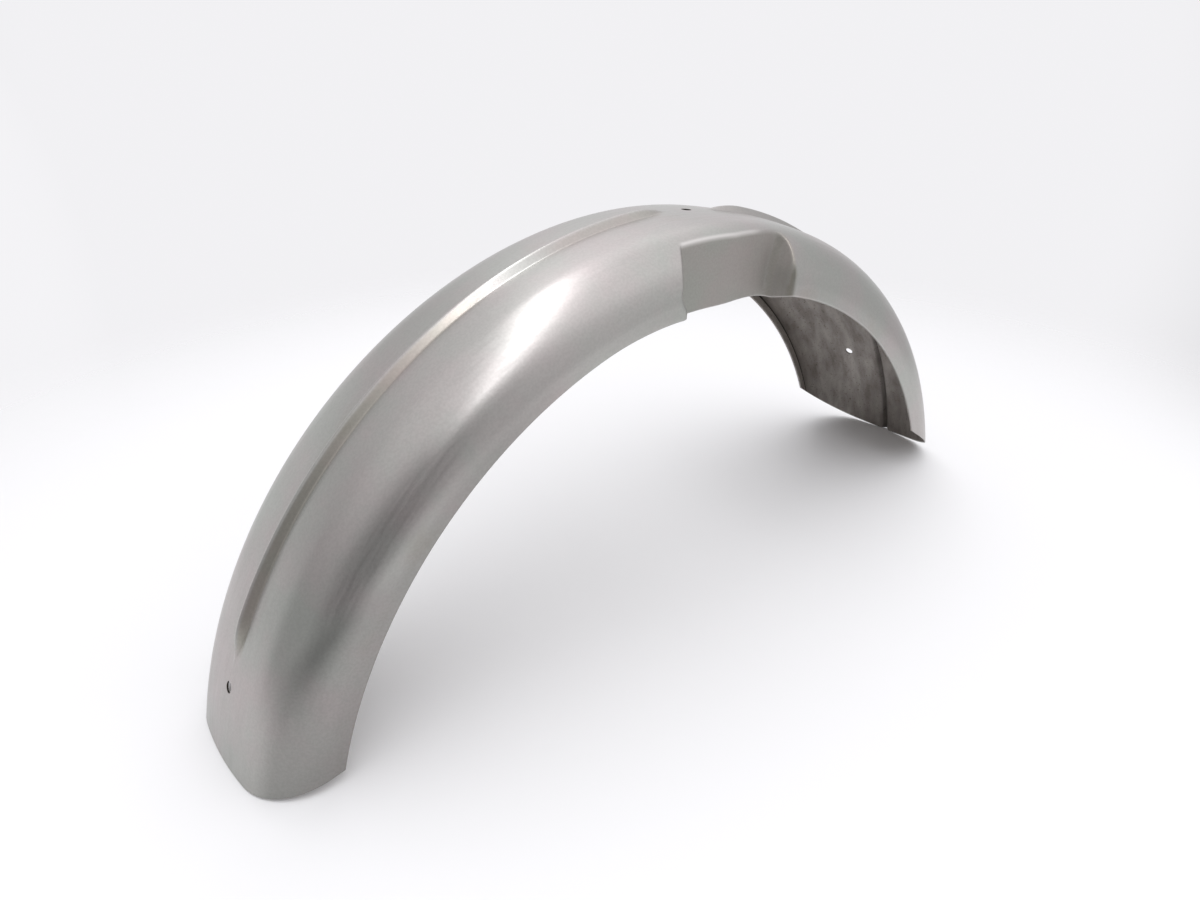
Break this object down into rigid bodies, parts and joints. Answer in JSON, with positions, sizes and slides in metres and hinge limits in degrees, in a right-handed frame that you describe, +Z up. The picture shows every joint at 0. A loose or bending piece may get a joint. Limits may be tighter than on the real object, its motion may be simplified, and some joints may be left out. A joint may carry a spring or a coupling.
{
  "type": "motorcycle front mudguard",
  "caption": "Bare pressed-steel front mudguard with a raised middle rib, recesses for the fork legs, a folded free edge and bolt holes for its stays.",
  "frame": {"origin": "middle of the bounding box, on the floor plane that the two ends of the crown stand on", "axes": "+X runs forwards along the wheel plane to the front end, +Y across to the left flank, +Z up to the crown"},
  "size_m": [0.6877, 0.132, 0.2782],
  "materials": {
    "bare_steel": "satin bare sheet steel with faint mottling"
  },
  "bodies": {
    "root": {"mudguard": "bare_steel"}
  },
  "joints": []
}
